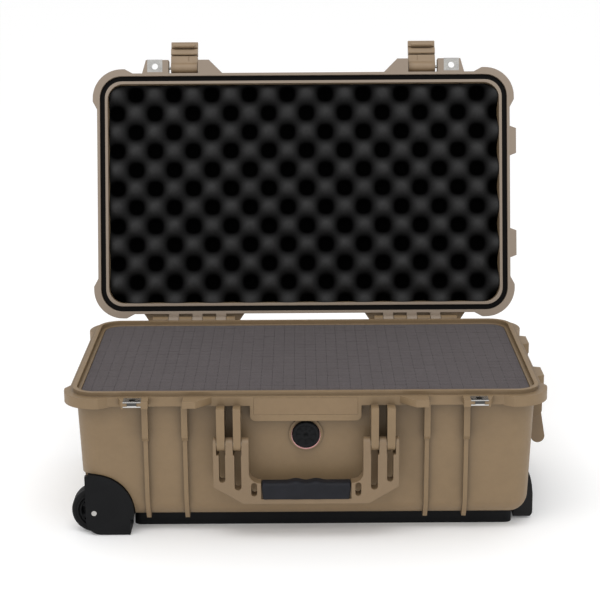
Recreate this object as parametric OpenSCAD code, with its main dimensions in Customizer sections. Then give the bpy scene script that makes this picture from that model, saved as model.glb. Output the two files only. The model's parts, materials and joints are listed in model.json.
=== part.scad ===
// Wheeled hard equipment case with a foam set, double-throw latches, two carrying handles
// and a two-stage pull handle. Millimetres, +Z up, +X to the right, front face towards -Y.
// The origin is on the ground, under the centre of the rim. The lid is drawn closed and
// then turned open about its hinge.

/* [Case] */
// Length of the rim flange, left to right
rim_length = 533; // [520:1:560]
// Depth of the rim flange, front to back
rim_depth = 311; // [300:1:330]
// Corner radius of the rim flange
rim_radius = 32; // [28:1:36]
// Height of the parting plane above the ground
parting_z = 167.4; // [166:0.2:190]
// Height of the lid's outer skin above the parting plane
lid_skin = 51; // [49:1:60]
// Thickness of the moulded walls
wall = 5.6; // [4.6:0.2:6]
// Angle at which the lid stands open
open_angle = 104; // [92:1:105]

/* [Latches and eyelets] */
// Distance of each latch from the middle of the case
latch_x = 154; // [153:0.5:155]
// Angle from the hanging position to the resting position of a latch
latch_angle = 100; // [90:1:110]
// Distance of each padlock eyelet from the middle of the case
eyelet_x = 191.5; // [190:0.5:193]
// Radius of the padlock hole
eyelet_r = 4; // [3.2:0.1:4.2]

/* [Handles] */
// Outer width of the front handle
handle_width = 206.6; // [206.6:0.1:207]
// Height of the front handle's pivot
handle_z = 115; // [113:1:117]
// Height of the side handle's pivot
side_pivot_z = 122; // [120:1:126]

/* [Wheels and pull handle] */
// Radius of the wheels
wheel_r = 26.5; // [25:0.1:26.8]
// Height of the axles above the ground
axle_z = 27; // [27:0.1:28]
// Radius of the black wheel housing
housing_r = 45; // [44:0.1:46.5]
// Distance of each pull tube from the middle of the case
tube_y = 72; // [70:1:74]

/* [Hidden] */
$fn = 64;

tan = "#a08c6c";
dark_tan = "#8e7b5e";
black = "#202124";
rubber = "#2b2c30";
foam = "#5f5856";
steel = "#c6c8ca";
red = "#b04a52";

half_x = rim_length / 2;
half_y = rim_depth / 2;
lid_gap = 0.3;
lid_z = parting_z + lid_gap;
overlap = 2;

// Base walls: they lean inwards from the flange to the floor
wall_inset = 8;
draft = 0.036;
base_floor_z = 18.5;
base_edge_r = 22;
wall_corner_r = 26;
flange_h = 10.8;
lid_flange_h = 11;
base_lug_h = 8;
function wall_at(half, z) = half - wall_inset - draft * abs(parting_z - z);
function front_wall(z) = -wall_at(half_y, z);

// Seal: a tongue on the base enters a channel in the lid
tongue_outer = 4.5;
tongue_w = 4.8;
tongue_h = 4.5;
channel_outer = 3.5;
channel_w = 6.7;
channel_h = 8;

boss_reach = 5.5;
boss_span = 50;
boss_h = 12;
guard_reach = 8;
guard_y = 66;
guard_w = 38;

lug_reach = 17.2;
lid_lug_h = 21;
lug_inner = [104.5, 135.9];
lug_outer = [174, 208];

hinge_y = half_y + 10.5;
hinge_z = parting_z - 2;
hinge_pin_r = 2.5;
knuckle_r = 7;
lid_knuckles = [108, 138.5, 169];
lid_knuckle_w = 13;
hinge_span = [90, 196];
fit = 0.06;

latch_pivot_y = -half_y - 8;
latch_pivot_z = parting_z + 14;
latch_w = 34.4;
latch_pin_r = 2;
lever_pin_r = 1.5;
lever_pin_y = -5.2;
lever_pin_z = -12;
cheek_t = 3;

eyelet_y = -half_y - 8.9;
eyelet_w = 19.6;
leaf_t = 1.2;
nose_half = 5.2;

valve_z = parting_z - 46.4;
valve_y = front_wall(valve_z) - 1.7;
gasket_t = 1.4;
cavity_floor_z = base_floor_z + 5;
foam_gap = 0.5;
layer_z = [cavity_floor_z + 0.5, 70, 120, parting_z];

axle_x = -half_x + 25.8;
axle_r = 3;
housing_y = [108, 147];
wheel_y = [115, 139];
well_gap = 0.7;

name_half = 58;
name_block_low = parting_z - 28.6;
name_z = [parting_z - 21.4, parting_z - 1.4];
name_recess = 1;

trolley_x = [-198.5, 237.3];
trolley_half_y = 114;
trolley_top = base_floor_z - 0.2;
tube_z = 10.5;
grip_half_y = 103;

handle_y = -half_y - 8;
handle_arm_w = 39.6;
handle_pin_r = 2.5;
handle_post_a = [90.1, 99.2];
handle_post_b = [72.3, 80.7];
handle_front = handle_y - 7.5;
handle_back = handle_y + 7.5;
handle_low = 46.5;

side_pivot_x = half_x + 0.5;
side_bar_x = half_x + 6;
side_bar_z = side_pivot_z - 36;
side_arm_y = [50, 59.4];
side_lug_y = [60, 70];

// ---------------------------------------------------------------- shared shapes

module rounded_rect(length, depth, radius) {
    square([length - 2 * radius, depth], center = true);
    square([length, depth - 2 * radius], center = true);
    for (sx = [-1, 1], sy = [-1, 1])
        translate([sx * (length / 2 - radius), sy * (depth / 2 - radius)])
            circle(radius);
}

// A flat slab with the rim's outline, moved inwards by inset
module rim_slab(inset, z_low, height) {
    translate([0, 0, z_low])
        linear_extrude(height)
            rounded_rect(rim_length - 2 * inset, rim_depth - 2 * inset, rim_radius - inset);
}

module rim_ring(inset, width, z_low, height) {
    difference() {
        rim_slab(inset, z_low, height);
        rim_slab(inset + width, z_low - 1, height + 2);
    }
}

// A block with leaning walls and a rounded lower edge, drawn for the base
module drafted_block(inset, z_low, z_high, r_high, r_low) {
    hull()
        for (sx = [-1, 1], sy = [-1, 1]) {
            translate([
                sx * (wall_at(half_x, z_high) - inset - r_high),
                sy * (wall_at(half_y, z_high) - inset - r_high),
                z_high - 1
            ])
                cylinder(r = r_high, h = 1, $fn = 32);
            translate([
                sx * (wall_at(half_x, z_low) - inset - r_low),
                sy * (wall_at(half_y, z_low) - inset - r_low),
                z_low + r_low
            ])
                sphere(r = r_low, $fn = 32);
        }
}

// Draws its children upside down about the parting plane, for the lid
module flipped() {
    translate([0, 0, 2 * parting_z]) mirror([0, 0, 1]) children();
}

module both_sides_x() {
    children();
    mirror([1, 0, 0]) children();
}

module both_sides_y() {
    children();
    mirror([0, 1, 0]) children();
}

module rod_x(x_low, x_high, y, z, radius) {
    translate([x_low, y, z]) rotate([0, 90, 0]) cylinder(r = radius, h = x_high - x_low);
}

module rod_y(y_low, y_high, x, z, radius) {
    translate([x, y_low, z]) rotate([-90, 0, 0]) cylinder(r = radius, h = y_high - y_low);
}

module rod_z(z_low, z_high, x, y, radius) {
    translate([x, y, z_low]) cylinder(r = radius, h = z_high - z_low);
}

module box(low, high) {
    translate(low) cube(high - low);
}

// Extrudes an outline of [x, z] points along Y
module plate_xz(y_low, y_high) {
    translate([0, y_high, 0]) rotate([90, 0, 0]) linear_extrude(y_high - y_low) children();
}

// Extrudes an outline of [y, z] points along X
module plate_yz(x_low, x_high) {
    translate([x_low, 0, 0]) rotate([90, 0, 90]) linear_extrude(x_high - x_low) children();
}

// Thick pads that wrap the four corners of a flange
module corner_bosses(z_low) {
    end_slope = 14;
    intersection() {
        rim_slab(-boss_reach, z_low, boss_h);
        for (sx = [-1, 1], sy = [-1, 1])
            scale([sx, sy, 1])
                translate([half_x, half_y, z_low])
                    linear_extrude(boss_h)
                        polygon([
                            [-boss_span, -overlap], [-boss_span + end_slope, boss_reach],
                            [boss_reach, boss_reach], [boss_reach, -boss_span + end_slope],
                            [-overlap, -boss_span], [-24, -24]
                        ]);
    }
}

// Pads on the right-hand flange, over the side handle's lugs
module side_guards(z_low, height) {
    both_sides_y()
        translate([0, 0, z_low])
            linear_extrude(height)
                polygon([
                    [half_x - overlap, guard_y - guard_w / 2], [half_x, guard_y - guard_w / 2],
                    [half_x + guard_reach, guard_y - guard_w / 2 + 3],
                    [half_x + guard_reach, guard_y + guard_w / 2 - 3],
                    [half_x, guard_y + guard_w / 2], [half_x - overlap, guard_y + guard_w / 2]
                ]);
}

// A lug in front of the flange: straight beside the latch, sloping on its other side
module front_lug(x_straight, x_slope, slope, z_low, height) {
    translate([0, 0, z_low])
        linear_extrude(height)
            polygon([
                [x_straight, -half_y + overlap], [x_straight, -half_y - lug_reach],
                [x_slope + slope, -half_y - lug_reach], [x_slope, -half_y],
                [x_slope, -half_y + overlap]
            ]);
}

module front_lugs(z_low, height) {
    front_lug(lug_inner[1], lug_inner[0], lug_reach, z_low, height);
    front_lug(lug_outer[0], lug_outer[1], -5, z_low, height);
}

module hinge_block(y_high, z_low, z_high) {
    slope = 10;
    translate([0, 0, z_low])
        linear_extrude(z_high - z_low)
            polygon([
                [78, half_y - overlap], [78, half_y], [78 + slope, y_high],
                [208 - slope, y_high], [208, half_y], [208, half_y - overlap]
            ]);
}

// A padlock eyelet: two leaves joined by a nose that fills the slot in its lug
module eyelet(z_low, z_high) {
    lip = 0.5;
    difference() {
        union() {
            for (z = [z_low, z_high - leaf_t])
                box(
                    [eyelet_x - eyelet_w / 2, -half_y - lug_reach - lip, z],
                    [eyelet_x + eyelet_w / 2, -half_y - 1.5, z + leaf_t]
                );
            box(
                [eyelet_x - nose_half, -half_y - lug_reach - lip, z_low],
                [eyelet_x + nose_half, eyelet_y + nose_half, z_high]
            );
        }
        rod_z(z_low - 1, z_high + 1, eyelet_x, eyelet_y, eyelet_r);
    }
}

// Room that an eyelet takes out of its lug
module eyelet_room(z_low, z_high) {
    box(
        [eyelet_x - nose_half, -half_y - lug_reach - 1, z_low - 1],
        [eyelet_x + nose_half, eyelet_y + nose_half, z_high + 1]
    );
    for (z = [z_low - 8, z_high - leaf_t])
        box(
            [eyelet_x - eyelet_w / 2, -half_y - lug_reach - 1, z],
            [eyelet_x + eyelet_w / 2, -half_y - 1.5, z + leaf_t + 8]
        );
}

// ---------------------------------------------------------------- base

base_eyelet_z = [parting_z - 6.2, parting_z];
screw_spots = [
    for (x = [-176, 15, 205], y = [-1, 1]) [x, y * 98],
    for (x = [-176, 205]) [x, 0]
];

module wheel_wells(radius, y_in) {
    both_sides_y() rod_y(y_in, half_y + 10, axle_x, axle_z, radius);
}

module finger_pocket(grow) {
    box([half_x - 30.5 - grow, -48 - grow, 0], [half_x + 10, 48 + grow, 60 + grow]);
}

module base_cavity() {
    difference() {
        drafted_block(wall, cavity_floor_z, parting_z + 1, 21, 17);
        wheel_wells(housing_r + well_gap + 4.5, housing_y[0] - 5);
        finger_pocket(5);
    }
}

// A stiffening rib down the front wall, deep under the flange and shallow below
module front_rib(x) {
    step_z = parting_z - 53;
    foot_z = base_floor_z - 2;
    plate_yz(x - 3.5, x + 3.5)
        polygon([
            [front_wall(parting_z) + 3, parting_z - flange_h + 1],
            [-half_y + 0.4, parting_z - flange_h + 1],
            [-half_y + 0.4, step_z + 5],
            [front_wall(step_z) - 5, step_z],
            [front_wall(step_z) + 3, step_z]
        ]);
    plate_yz(x - 2.5, x + 2.5)
        polygon([
            [front_wall(step_z) + 3, step_z + 2],
            [front_wall(step_z) - 5, step_z + 2],
            [front_wall(42) - 4.5, 42],
            [front_wall(42) + 2, 26],
            [front_wall(42) + 9, foot_z],
            [front_wall(42) + 18, foot_z],
            [front_wall(42) + 14, 30]
        ]);
}

module handle_post(span) {
    difference() {
        plate_yz(span[0], span[1]) {
            translate([handle_y, handle_z]) circle(7.5);
            polygon([
                [handle_front, parting_z - flange_h + 1], [handle_front, handle_z],
                [handle_back, handle_z], [front_wall(handle_z) + 2, handle_z - 2],
                [front_wall(parting_z) + 2, parting_z - flange_h + 1]
            ]);
        }
        rod_x(span[0] - 1, span[1] + 1, handle_y, handle_z, handle_pin_r);
    }
}

// The block under the middle of the front flange that carries the name plate
module name_block() {
    plate_xz(-half_y, front_wall(name_block_low) + 2) {
        translate([-name_half - 4, name_block_low + 6])
            square([2 * name_half + 8, parting_z - flange_h - name_block_low - 5]);
        for (sx = [-1, 1]) translate([sx * (name_half - 2), name_block_low + 6]) circle(6);
        translate([2 - name_half, name_block_low]) square([2 * name_half - 4, 10]);
    }
}

module base_hinge() {
    spans = [[90, 101], [115, 131.5], [145.5, 162], [176, 196]];
    hinge_block(hinge_y - knuckle_r - 1, parting_z - 14, parting_z - 5);
    for (s = spans)
        plate_yz(s[0], s[1]) {
            translate([hinge_y, hinge_z]) circle(knuckle_r);
            polygon([
                [half_y - overlap, parting_z - 14], [hinge_y + 3, parting_z - 11],
                [hinge_y, hinge_z - knuckle_r + 3], [hinge_y, hinge_z + 2],
                [half_y - overlap, hinge_z + 1]
            ]);
        }
}

module side_lugs() {
    both_sides_y()
        difference() {
            plate_xz(side_lug_y[0], side_lug_y[1]) {
                translate([side_pivot_x, side_pivot_z]) circle(8);
                polygon([
                    [wall_at(half_x, side_pivot_z) - 2, side_pivot_z - 8],
                    [side_pivot_x, side_pivot_z - 8], [side_pivot_x + 8, side_pivot_z],
                    [side_pivot_x + 8, parting_z - flange_h + 1],
                    [wall_at(half_x, parting_z) - 2, parting_z - flange_h + 1]
                ]);
            }
            rod_y(side_lug_y[0] - 1, side_lug_y[1] - 2, side_pivot_x, side_pivot_z, 2.5);
        }
}

module base_shell() {
    color(tan)
        difference() {
            union() {
                difference() {
                    drafted_block(0, base_floor_z, parting_z - 1, wall_corner_r, base_edge_r);
                    wheel_wells(housing_r + well_gap, housing_y[0] - 0.5);
                    finger_pocket(0);
                }
                rim_slab(0, parting_z - flange_h, flange_h);
                rim_ring(tongue_outer, tongue_w, parting_z - 1, tongue_h + 1);
                corner_bosses(parting_z - boss_h);
                side_guards(parting_z - boss_h, boss_h);
                both_sides_x() {
                    front_lugs(parting_z - base_lug_h, base_lug_h);
                    front_rib(135.4);
                    front_rib(179.5);
                    handle_post(handle_post_a);
                    handle_post(handle_post_b);
                    base_hinge();
                }
                name_block();
                side_lugs();
                rod_y(valve_y, front_wall(valve_z) + 2, 0, valve_z, 19);
            }
            base_cavity();
            box([-name_half, -half_y - 1, name_z[0]], [name_half, -half_y + name_recess, name_z[1]]);
            both_sides_x() {
                eyelet_room(base_eyelet_z[0], base_eyelet_z[1]);
                rod_x(hinge_span[0] + 2, hinge_span[1] - 2, hinge_y, hinge_z, hinge_pin_r);
            }
            rod_y(valve_y - 1, front_wall(valve_z) + wall + 4, 0, valve_z, 9);
            for (p = screw_spots) rod_z(base_floor_z - 1, base_floor_z + 4, p[0], p[1], 2);
        }
}

// One layer of the foam that fills the base
module foam_layer(z_low, z_high) {
    layer_gap = 0.2;
    color(foam)
        difference() {
            intersection() {
                drafted_block(wall + foam_gap, layer_z[0], parting_z, 21.5, 17.5);
                box([-half_x, -half_y, z_low], [half_x, half_y, z_high - layer_gap]);
            }
            if (z_low < axle_z + housing_r + 6)
                wheel_wells(housing_r + well_gap + 5.2, housing_y[0] - 5.7);
            if (z_low < 66) finger_pocket(5.7);
            if (z_high > valve_z - 20)
                rod_y(-half_y, front_wall(valve_z) + wall + 7, 0, valve_z, 15);
        }
}

module base_foam_top() { foam_layer(layer_z[2], layer_z[3]); }

module base_foam_middle() { foam_layer(layer_z[1], layer_z[2]); }

module base_foam_bottom() { foam_layer(layer_z[0], layer_z[1]); }

module base_eyelet_left() { mirror([1, 0, 0]) base_eyelet_right(); }

module base_eyelet_right() { color(steel) eyelet(base_eyelet_z[0], base_eyelet_z[1]); }

module name_plate() {
    gap = 0.2;
    color(dark_tan)
        box(
            [gap - name_half, -half_y + 0.1, name_z[0] + gap],
            [name_half - gap, -half_y + name_recess, name_z[1] - gap]
        );
}

module purge_valve_cap() {
    color(black)
        difference() {
            union() {
                rod_y(valve_y - 5.8, valve_y - 3.2, 0, valve_z, 15);
                rod_y(valve_y - 3.2, valve_y - gasket_t, 0, valve_z, 15.8);
                rod_y(valve_y - 2, front_wall(valve_z) + wall + 5, 0, valve_z, 8.9);
            }
            rod_y(valve_y - 7, valve_y - 4.6, 0, valve_z, 11.5);
            rod_y(valve_y - 2.6, front_wall(valve_z) + wall + 6, 0, valve_z, 6);
        }
}

// The gasket sags: its ring lies a little below the valve's middle
module purge_valve_gasket() {
    sag = 1.3;
    color(red)
        difference() {
            rod_y(valve_y - gasket_t, valve_y, 0, valve_z - sag, 16.3);
            rod_y(valve_y - 2, valve_y + 1, 0, valve_z - sag, 10.4);
        }
}

module purge_valve_membrane() {
    color("white") rod_y(valve_y, valve_y + 0.6, 0, valve_z, 5.9);
}

module purge_valve_nut() {
    y = front_wall(valve_z - 13) + wall + 0.7;
    color(black)
        difference() {
            translate([0, y, valve_z]) rotate([-90, 0, 0]) cylinder(r = 13, h = 4, $fn = 6);
            rod_y(y - 1, y + 5, 0, valve_z, 8.9);
        }
}

module hinge_pin_left() { mirror([1, 0, 0]) hinge_pin_right(); }

module hinge_pin_right() {
    color(steel) rod_x(hinge_span[0] + 2, hinge_span[1] - 2, hinge_y, hinge_z, hinge_pin_r);
}

module front_handle_pin_left() { mirror([1, 0, 0]) front_handle_pin_right(); }

module front_handle_pin_right() {
    color(steel) rod_x(65, handle_width / 2 - 0.6, handle_y, handle_z, handle_pin_r);
}

module side_handle_pins() {
    color(steel)
        both_sides_y()
            rod_y(side_arm_y[0] + 1, side_lug_y[1] - 2, side_pivot_x, side_pivot_z, 2.5);
}

// ---------------------------------------------------------------- undercarriage

module trolley_housing() {
    floor_t = 2.5;
    length = trolley_x[1] - trolley_x[0];
    middle = (trolley_x[0] + trolley_x[1]) / 2;
    color(black)
        difference() {
            union() {
                difference() {
                    translate([middle, 0, 0])
                        linear_extrude(trolley_top)
                            rounded_rect(length, 2 * trolley_half_y, 8);
                    translate([middle, 0, floor_t])
                        linear_extrude(trolley_top)
                            rounded_rect(length - 2 * floor_t, 2 * trolley_half_y - 6, 6);
                }
                for (x = [-150, 20, 200])
                    box([x - 2, -trolley_half_y + 2, 1], [x + 2, trolley_half_y - 2, trolley_top]);
                for (x = [-100, 100], y = [-20, 20])
                    box([x - 40, y - 1.5, 1], [x + 40, y + 1.5, trolley_top]);
                for (p = screw_spots) rod_z(1, trolley_top, p[0], p[1], 7);
            }
            both_sides_y() {
                rod_x(trolley_x[0] + 5, 229.9, tube_y, tube_z, 7.5);
                rod_x(229, trolley_x[1] + 1, tube_y, tube_z, 7.9);
            }
            for (p = screw_spots) {
                rod_z(-1, trolley_top + 1, p[0], p[1], 2.2);
                rod_z(-1, 3.2, p[0], p[1], 4.4);
            }
        }
}

module trolley_housing_screws() {
    color(steel)
        for (p = screw_spots)
            difference() {
                union() {
                    rod_z(0.8, 3.2, p[0], p[1], 4);
                    rod_z(3, base_floor_z + 4, p[0], p[1], 2);
                }
                translate([p[0], p[1], 0.7]) linear_extrude(1.3) {
                    square([4.4, 0.9], center = true);
                    square([0.9, 4.4], center = true);
                }
            }
}

module tube_pair(x_low, x_high, r_out, r_in) {
    both_sides_y()
        difference() {
            rod_x(x_low, x_high, tube_y, tube_z, r_out);
            rod_x(x_low - 1, x_high + 1, tube_y, tube_z, r_in);
        }
}

module trolley_outer_tubes() { color(steel) tube_pair(-190, 229.9, 7.5, 6.6); }

module trolley_middle_tubes() { color(steel) tube_pair(-185, 236.8, 6.52, 5.5); }

module trolley_collars() { color(black) tube_pair(231, 236.8, 7.6, 6.52); }

module trolley_inner_tubes() { color(steel) tube_pair(-180, 252, 5.42, 4.4); }

grip_x = [half_x - 26.5, half_x - 4];

module trolley_grip() {
    color(black)
        difference() {
            union() {
                plate_xz(-grip_half_y, grip_half_y)
                    polygon([
                        [grip_x[1] - 10, 6], [grip_x[1] - 6, 3], [grip_x[1] - 2.5, 3],
                        [grip_x[1], 7], [grip_x[1], 30], [grip_x[1] - 1.2, 42],
                        [grip_x[1] - 3.4, 52], [grip_x[1] - 7.7, 52],
                        [grip_x[1] - 7.7, 36], [grip_x[1] - 10, 26]
                    ]);
                both_sides_y()
                    plate_xz(54, grip_half_y)
                        polygon([
                            [grip_x[0], 3], [grip_x[1] - 4, 3], [grip_x[1] - 4, 34],
                            [grip_x[1] - 8, 34], [grip_x[0] + 6, 20.6], [grip_x[0], 18.4]
                        ]);
            }
            both_sides_y() rod_x(grip_x[0] - 1, 252, tube_y, tube_z, 5.42);
            button_shape(0.4, grip_x[1] - 6.6, grip_x[1] + 1);
        }
}

module button_shape(grow, x_low, x_high) {
    half_w = 18;
    button_r = 6;
    plate_z = 24;
    for (sy = [-1, 1])
        rod_x(x_low, x_high, sy * (half_w - button_r), plate_z, button_r + grow);
    box(
        [x_low, -half_w + button_r, plate_z - button_r - grow],
        [x_high, half_w - button_r, plate_z + button_r + grow]
    );
}

module trolley_button() {
    color(rubber) button_shape(0, grip_x[1] - 2.4, grip_x[1] + 1.6);
}

// Outline of a wheel housing: a disc about the axle with a square lower right corner
module housing_outline() {
    x_left = axle_x - 9.6;
    x_right = axle_x + 40.7;
    toe_r = 17;
    intersection() {
        translate([axle_x, axle_z]) circle(housing_r);
        translate([x_left, axle_z]) square([housing_r + 12, housing_r]);
    }
    translate([x_left + toe_r, 1]) square([x_right - x_left - toe_r, axle_z - 0.5]);
    translate([x_left, 1 + toe_r]) square([toe_r + 1, axle_z - toe_r - 0.5]);
    translate([x_left + toe_r, 1 + toe_r]) circle(toe_r);
    intersection() {
        translate([axle_x, axle_z]) circle(housing_r);
        translate([axle_x, axle_z - 8]) square([housing_r, 20]);
    }
}

module wheel_housing_front() {
    inner_r = 41;
    color(black)
        difference() {
            plate_xz(-housing_y[1], -housing_y[0]) housing_outline();
            plate_xz(-housing_y[1] + 5.5, -housing_y[0] - 4.5) {
                translate([axle_x, axle_z]) circle(inner_r);
                translate([axle_x - 60, -10]) square([60, 100]);
                translate([axle_x - 60, -10]) square([95, axle_z + 10]);
            }
            rod_y(-housing_y[1] - 1, -housing_y[0] + 1, axle_x, axle_z, axle_r);
        }
}

module wheel_housing_rear() { mirror([0, 1, 0]) wheel_housing_front(); }

module axle_front() {
    color(steel) rod_y(-housing_y[1] - 0.6, -housing_y[0] - 0.2, axle_x, axle_z, axle_r);
}

module axle_rear() { mirror([0, 1, 0]) axle_front(); }

// A ring about a wheel's axle with rounded outer edges
module wheel_ring(r_out, r_in, y_low, y_high, edge_r) {
    width = y_high - y_low;
    translate([axle_x, y_high, axle_z])
        rotate([90, 0, 0])
            rotate_extrude() {
                translate([r_in, 0]) square([r_out - edge_r - r_in, width]);
                translate([r_in, edge_r]) square([r_out - r_in, width - 2 * edge_r]);
                for (y = [edge_r, width - edge_r]) translate([r_out - edge_r, y]) circle(edge_r);
            }
}

module wheel_tyre_front() {
    color(rubber) wheel_ring(wheel_r, 18, -wheel_y[1], -wheel_y[0], 4);
}

module wheel_hub_front() {
    color(black) wheel_ring(18, 8, -wheel_y[1] + 1, -wheel_y[0] - 1, 0.8);
}

module wheel_bearings_front() {
    color(steel)
        for (y = [-wheel_y[1] + 1, -wheel_y[0] - 7])
            wheel_ring(8, axle_r + fit, y, y + 6, 0.5);
}

module wheel_tyre_rear() { mirror([0, 1, 0]) wheel_tyre_front(); }

module wheel_hub_rear() { mirror([0, 1, 0]) wheel_hub_front(); }

module wheel_bearings_rear() { mirror([0, 1, 0]) wheel_bearings_front(); }

// ---------------------------------------------------------------- lid

lid_eyelet_z = [parting_z + 0.4, parting_z + 6.6];

// Turns a closed-lid shape to its resting place, open
module opened() {
    translate([0, hinge_y, hinge_z])
        rotate([-open_angle, 0, 0])
            translate([0, -hinge_y, -hinge_z])
                children();
}

module lid_hinge_parts() {
    hinge_block(hinge_y + 4, parting_z + 7, parting_z + 13);
    for (x = lid_knuckles)
        plate_yz(x - lid_knuckle_w / 2, x + lid_knuckle_w / 2) {
            translate([hinge_y, hinge_z]) circle(knuckle_r);
            polygon([
                [half_y - overlap, lid_z], [half_y + 0.5, lid_z], [hinge_y - 6, hinge_z + 3],
                [hinge_y + 6.5, hinge_z + 2], [hinge_y + 5.5, parting_z + 13],
                [half_y - overlap, parting_z + 13]
            ]);
        }
}

module lid_top_ribs() {
    top = parting_z + lid_skin;
    rib_h = 8;
    for (y = [-92, 92])
        translate([0, y, top - 2]) linear_extrude(rib_h + 2) rounded_rect(424, 15, 7);
    for (x = [-196, -66, 66, 196])
        translate([x, 0, top - 2]) linear_extrude(rib_h) rounded_rect(15, 190, 7);
}

// Walls on each side of a latch that hold its pin, and the thinner padlock lug
module lid_front_lugs() {
    difference() {
        front_lugs(lid_z, lid_lug_h);
        box([182, -half_y - 30, parting_z + 5.4], [half_x, -half_y, parting_z + 40]);
        rod_x(131, 179, latch_pivot_y, latch_pivot_z, latch_pin_r);
    }
}

module lid_shell() {
    color(tan)
        opened()
            difference() {
                union() {
                    flipped()
                        drafted_block(
                            0, parting_z - lid_skin, parting_z - 2, wall_corner_r, 19
                        );
                    rim_slab(0, lid_z, lid_flange_h);
                    corner_bosses(lid_z);
                    side_guards(lid_z, boss_h);
                    both_sides_x() {
                        lid_front_lugs();
                        lid_hinge_parts();
                    }
                    lid_top_ribs();
                }
                flipped() drafted_block(wall, parting_z - 44.5, parting_z + 1, 21, 14);
                rim_ring(channel_outer, channel_w, lid_z - 1, channel_h + 1);
                both_sides_x() {
                    eyelet_room(lid_eyelet_z[0], lid_eyelet_z[1]);
                    rod_x(
                        hinge_span[0], hinge_span[1], hinge_y, hinge_z, hinge_pin_r + fit
                    );
                }
            }
}

module lid_o_ring() {
    color(black)
        opened() rim_ring(channel_outer + 0.3, channel_w - 0.6, parting_z + 4.9, 3.3);
}

module lid_foam() {
    color(black)
        opened()
            intersection() {
                flipped() drafted_block(wall + foam_gap, parting_z - 44, parting_z, 21.5, 14);
                box([-half_x, -half_y, parting_z + 1.4], [half_x, half_y, parting_z + 60]);
            }
}

module lid_eyelet_left() { mirror([1, 0, 0]) lid_eyelet_right(); }

module lid_eyelet_right() { color(steel) opened() eyelet(lid_eyelet_z[0], lid_eyelet_z[1]); }

module latch_pin_left() { mirror([1, 0, 0]) latch_pin_right(); }

module latch_pin_right() {
    color(steel) opened() rod_x(131, 179, latch_pivot_y, latch_pivot_z, latch_pin_r);
}

// ---------------------------------------------------------------- latches

// Draws a latch part in place: children hang from their pivot at the origin
module latch_place() {
    opened()
        translate([latch_x, latch_pivot_y, latch_pivot_z])
            rotate([-latch_angle, 0, 0])
                children();
}

module latch_body_right() {
    cheek_in = latch_w / 2 - cheek_t;
    barrel_r = 7.3;
    web_y = 4.6;
    color(tan)
        latch_place()
            difference() {
                union() {
                    rod_x(-latch_w / 2, latch_w / 2, 0, 0, barrel_r);
                    box([-latch_w / 2, -7.8, -7.6], [latch_w / 2, -2.6, 2.5]);
                    box([-latch_w / 2, 2.4, -14.8], [latch_w / 2, web_y, 0]);
                    both_sides_x()
                        plate_yz(cheek_in, latch_w / 2) {
                            translate([lever_pin_y, lever_pin_z]) circle(3.4);
                            polygon([
                                [lever_pin_y - 2.6, 0], [lever_pin_y - 3.4, lever_pin_z],
                                [lever_pin_y + 3.4, lever_pin_z], [4.5, -8], [5.5, 0]
                            ]);
                        }
                }
                rod_x(-latch_w, latch_w, 0, 0, latch_pin_r + fit);
                rod_x(-latch_w, latch_w, lever_pin_y, lever_pin_z, lever_pin_r);
                box([-latch_w / 6 - 0.4, web_y - 0.6, -16], [-latch_w / 6 + 0.4, 10, -7.8]);
            }
}

// The lever: barrel about its pin, cover plate, claw that catches under the flange, finger lip
module latch_lever_right() {
    barrel_half = latch_w / 2 - cheek_t - 0.4;
    color(tan)
        latch_place()
            difference() {
                union() {
                    rod_x(-barrel_half, barrel_half, lever_pin_y, lever_pin_z, 3.3);
                    plate_yz(-barrel_half, barrel_half)
                        polygon([
                            [lever_pin_y - 2.9, lever_pin_z - 1], [-7.8, -20], [-3, -20],
                            [lever_pin_y + 2.9, lever_pin_z - 1]
                        ]);
                    plate_yz(-latch_w / 2, latch_w / 2)
                        polygon([
                            [-7.8, -17], [-8.4, -29], [-8.4, -33.6], [-6.8, -35.5],
                            [-1.2, -35.5], [0.8, -33.8], [0.8, -27.6], [-1, -26.6],
                            [5.4, -23.8], [6, -22.4], [6, -17.6], [5, -16.6], [-3, -16.6]
                        ]);
                    plate_yz(-13.6, 13.6)
                        polygon([
                            [-3, -25.4], [10.4, -25.4], [11.6, -26.8], [9, -30.2], [-3, -30.8]
                        ]);
                }
                rod_x(-latch_w, latch_w, lever_pin_y, lever_pin_z, lever_pin_r + fit);
            }
}

module lever_pin_right() {
    color(steel)
        latch_place()
            rod_x(-latch_w / 2 + 0.3, latch_w / 2 - 0.3, lever_pin_y, lever_pin_z, lever_pin_r);
}

module latch_body_left() { mirror([1, 0, 0]) latch_body_right(); }

module latch_lever_left() { mirror([1, 0, 0]) latch_lever_right(); }

module lever_pin_left() { mirror([1, 0, 0]) lever_pin_right(); }

// ---------------------------------------------------------------- handles

// A slot with round ends, cut through the arm from front to back
module arm_slot(x_low, x_high, z_low, z_high) {
    r = (x_high - x_low) / 2;
    plate_xz(handle_front - 1, handle_back + 1) {
        for (z = [z_low + r, z_high - r]) translate([x_low + r, z]) circle(r);
        translate([x_low, z_low + r]) square([2 * r, z_high - z_low - 2 * r]);
    }
}

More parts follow.
